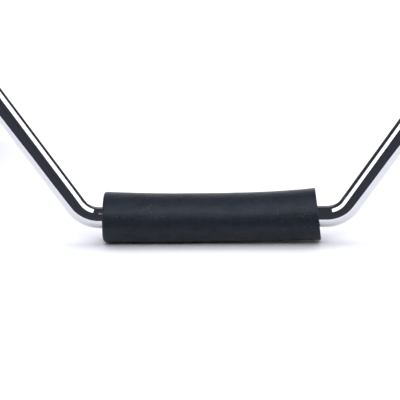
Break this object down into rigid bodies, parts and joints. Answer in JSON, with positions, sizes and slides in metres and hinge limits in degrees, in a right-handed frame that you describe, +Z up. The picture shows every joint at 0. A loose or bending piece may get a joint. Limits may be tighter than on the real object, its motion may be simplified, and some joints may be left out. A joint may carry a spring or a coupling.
{
  "type": "pull up bar",
  "caption": "Bent chrome pull-up bar with a low close rubber grip between two wide grips, on arms that fold up against the wall.",
  "frame": {"origin": "middle of the footprint, level with the underside of the middle grip and of the wall plates", "axes": "+X along the bar to the user's right when they face the wall, +Y towards the wall, +Z up"},
  "size_m": [1.062, 0.422, 0.27],
  "materials": {
    "chrome": "polished chrome plate",
    "rubber": "smooth dense rubber with faint mottling",
    "stop_rubber": "plain moulded rubber",
    "powder_coat": "fine-textured satin powder coat",
    "zinc": "bright zinc plate",
    "black_plastic": "moulded plastic",
    "bush_plastic": "natural nylon"
  },
  "bodies": {
    "wall_brackets": {"wall_bracket_left": "powder_coat", "foot_bumper_left": "stop_rubber", "pivot_bolt_left": "zinc", "pivot_sleeve_left": "zinc", "pivot_washers_left": "zinc", "pivot_nut_left": "zinc", "wall_bracket_right": "powder_coat", "foot_bumper_right": "stop_rubber", "pivot_bolt_right": "zinc", "pivot_sleeve_right": "zinc", "pivot_washers_right": "zinc", "pivot_nut_right": "zinc"},
    "swing_frame": {"bar_rod": "chrome", "centre_grip": "rubber", "outer_grip_left": "rubber", "end_cap_left": "black_plastic", "clamp_saddle_left": "powder_coat", "clamp_cap_left": "powder_coat", "clamp_screws_left": "zinc", "support_arm_left": "powder_coat", "brace_strut_left": "powder_coat", "strut_foot_left": "powder_coat", "arm_plug_left": "black_plastic", "pivot_bushes_left": "bush_plastic", "outer_grip_right": "rubber", "end_cap_right": "black_plastic", "clamp_saddle_right": "powder_coat", "clamp_cap_right": "powder_coat", "clamp_screws_right": "zinc", "support_arm_right": "powder_coat", "brace_strut_right": "powder_coat", "strut_foot_right": "powder_coat", "arm_plug_right": "black_plastic", "pivot_bushes_right": "bush_plastic"},
    "left_lock_pin": {"lock_pin_left": "zinc", "lock_pin_knob_left": "black_plastic"},
    "right_lock_pin": {"lock_pin_right": "zinc", "lock_pin_knob_right": "black_plastic"}
  },
  "joints": [
    {"name": "fold_up", "type": "hinge", "parent": "wall_brackets", "child": "swing_frame", "pos_m": [0, 0.169, 0.202], "axis": [-1, 0, 0], "range_deg": [0, 90]},
    {"name": "left_pin_pull", "type": "slide", "parent": "wall_brackets", "child": "left_lock_pin", "axis": [-1, 0, 0], "range_m": [0, 0.0615]},
    {"name": "right_pin_pull", "type": "slide", "parent": "wall_brackets", "child": "right_lock_pin", "axis": [1, 0, 0], "range_m": [0, 0.0615]}
  ]
}
